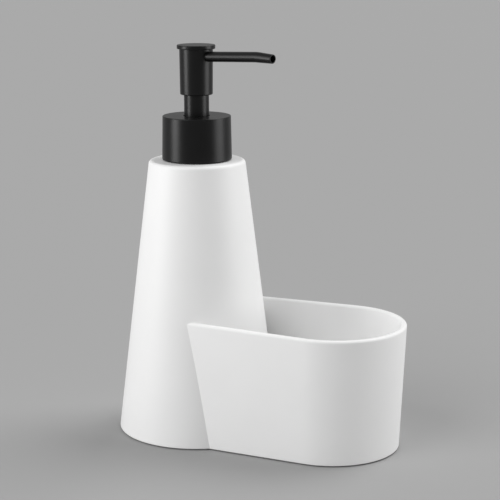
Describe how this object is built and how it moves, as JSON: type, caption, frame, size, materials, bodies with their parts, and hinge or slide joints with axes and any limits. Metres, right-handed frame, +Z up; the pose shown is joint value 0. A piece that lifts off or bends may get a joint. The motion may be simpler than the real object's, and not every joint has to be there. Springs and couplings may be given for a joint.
{
  "type": "soap pump caddy",
  "caption": "Tapered soap bottle with a screw-on lotion pump, joined to an open pocket with one round end for a sponge or brush.",
  "frame": {"origin": "on the bottle's axis, on the surface that the caddy stands on", "axes": "+Z up along the bottle's axis; +X from the bottle towards the pocket's round end"},
  "size_m": [0.1508, 0.0818, 0.1954],
  "materials": {
    "white_shell": "soft matt white",
    "black_metal": "satin black coating",
    "black_plastic": "moulded satin",
    "pale_plastic": "moulded satin",
    "clear_tube": "translucent gloss",
    "grey_rubber": "matt",
    "bare_steel": "bright drawn"
  },
  "bodies": {
    "caddy": {"tower_shell": "white_shell", "pocket_shell": "white_shell", "base_plate": "white_shell", "base_seal": "grey_rubber", "tower_pad": "grey_rubber", "pocket_pads": "grey_rubber", "neck_insert": "pale_plastic"},
    "pump": {"neck_gasket": "grey_rubber", "pump_housing": "pale_plastic", "retaining_ring": "black_plastic", "guide_sleeve": "black_metal", "dip_tube": "clear_tube", "return_spring": "bare_steel"},
    "collar": {"collar_cover": "black_metal", "collar_closure": "black_plastic"},
    "inlet_valve": {"inlet_ball": "bare_steel"},
    "piston": {"piston_seal": "pale_plastic"},
    "head": {"pump_stem": "pale_plastic", "head_core": "black_plastic", "head_shell": "black_metal", "head_cap": "black_metal", "spout_tube": "black_metal"},
    "outlet_valve": {"outlet_ball": "bare_steel"}
  },
  "joints": [
    {"name": "pump_rise", "type": "slide", "parent": "caddy", "child": "pump", "axis": [0, 0, 1], "range_m": [0, 0.0036]},
    {"name": "collar_turn", "type": "hinge", "parent": "pump", "child": "collar", "pos_m": [0, 0, 0.15], "axis": [0, 0, 1], "range_deg": [0, 300]},
    {"name": "pump_stroke", "type": "slide", "parent": "pump", "child": "piston", "axis": [0, 0, 1], "range_m": [-0.01, 0], "stiffness_N_per_m": 600, "springref_m": 0.0083, "deforming": ["return_spring"]},
    {"name": "head_swivel", "type": "hinge", "parent": "piston", "child": "head", "pos_m": [0, 0, 0.17], "axis": [0, 0, 1], "continuous": true},
    {"name": "inlet_lift", "type": "slide", "parent": "pump", "child": "inlet_valve", "axis": [0, 0, 1], "range_m": [0, 0.0015]},
    {"name": "outlet_lift", "type": "slide", "parent": "head", "child": "outlet_valve", "axis": [0, 0, 1], "range_m": [0, 0.001]}
  ],
  "couplings": [
    {"joint": "pump_rise", "follows": "collar_turn", "m_per_rad": 0.00067322}
  ]
}
